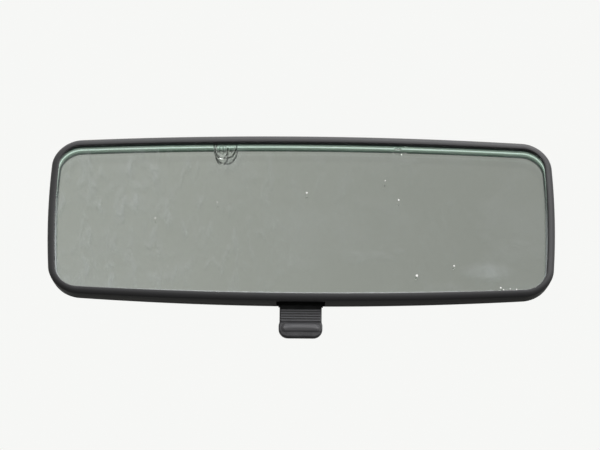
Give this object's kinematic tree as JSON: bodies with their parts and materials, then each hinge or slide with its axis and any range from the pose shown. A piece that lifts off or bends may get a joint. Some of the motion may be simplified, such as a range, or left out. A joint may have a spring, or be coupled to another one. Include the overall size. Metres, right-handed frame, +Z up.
{
  "type": "interior rearview mirror",
  "caption": "Interior rearview mirror with a prism day/night glass, a ribbed dipping lever, a ball joint and an arm that clamps to a button bonded on the windscreen.",
  "frame": {"origin": "centre of the adhesive face that is bonded to the inside of the windscreen", "axes": "+X to the driver's right along the mirror's length, +Y towards the windscreen and away from the driver, +Z up"},
  "size_m": [0.24, 0.082, 0.1098],
  "materials": {
    "charcoal_plastic": "fine moulded grain",
    "mirror_glass": "polished prism glass, silvered behind",
    "film_grey": "protective paint and film",
    "foam_black": "open cell foam",
    "rubber_black": "matt",
    "natural_nylon": "moulded, slightly glossy",
    "zinc_plated": "bright zinc plated",
    "spring_steel": "bright",
    "black_paint": "satin powder coat",
    "chromed": "polished",
    "adhesive": "cured adhesive film"
  },
  "bodies": {
    "mount": {"adhesive_pad": "adhesive", "windscreen_button": "zinc_plated", "mounting_foot": "black_paint", "foot_set_screw": "zinc_plated", "arm_screw": "zinc_plated", "stalk_arm": "black_paint", "stud_lock_nut": "zinc_plated", "ball_stud": "chromed"},
    "rear_seat": {"rear_ball_seat": "natural_nylon"},
    "front_seat": {"front_ball_seat": "natural_nylon"},
    "bracket": {"pivot_bracket": "zinc_plated", "socket_clamp": "black_paint", "clamp_spring_left": "spring_steel", "clamp_spring_right": "spring_steel", "clamp_screw_left": "zinc_plated", "clamp_screw_right": "zinc_plated"},
    "head": {"mirror_glass": "mirror_glass", "glass_backing": "film_grey", "foam_pad_left": "foam_black", "foam_pad_right": "foam_black", "front_bezel": "charcoal_plastic", "rear_housing": "charcoal_plastic", "mechanism_carrier": "natural_nylon", "carrier_screw_1": "zinc_plated", "carrier_screw_2": "zinc_plated", "carrier_screw_3": "zinc_plated", "carrier_screw_4": "zinc_plated", "flip_pivot_pin": "zinc_plated", "lever_pivot_pin": "zinc_plated", "flip_pin_clip": "spring_steel", "lever_pin_clip": "spring_steel", "detent_spring": "spring_steel", "stop_pad_left": "rubber_black", "stop_pad_right": "rubber_black"},
    "lever": {"dipping_lever": "charcoal_plastic", "crank_pin": "zinc_plated"}
  },
  "joints": [
    {"name": "head_swivel", "type": "hinge", "parent": "mount", "child": "rear_seat", "pos_m": [0, -0.05, -0.044], "axis": [0, 0, 1], "range_deg": [-20, 20]},
    {"name": "head_tilt", "type": "hinge", "parent": "rear_seat", "child": "front_seat", "pos_m": [0, -0.05, -0.044], "axis": [1, 0, 0], "range_deg": [-15, 15]},
    {"name": "head_roll", "type": "hinge", "parent": "front_seat", "child": "bracket", "pos_m": [0, -0.05, -0.044], "axis": [0, 1, 0], "range_deg": [-10, 10]},
    {"name": "night_flip", "type": "hinge", "parent": "bracket", "child": "head", "pos_m": [0, -0.055, -0.02], "axis": [-1, 0, 0], "range_deg": [0, 4.5]},
    {"name": "lever_swing", "type": "hinge", "parent": "head", "child": "lever", "pos_m": [0, -0.055, -0.077], "axis": [-1, 0, 0], "range_deg": [0, 30]}
  ],
  "couplings": [
    {"joint": "lever_swing", "follows": "night_flip", "ratio": 6.6667}
  ]
}
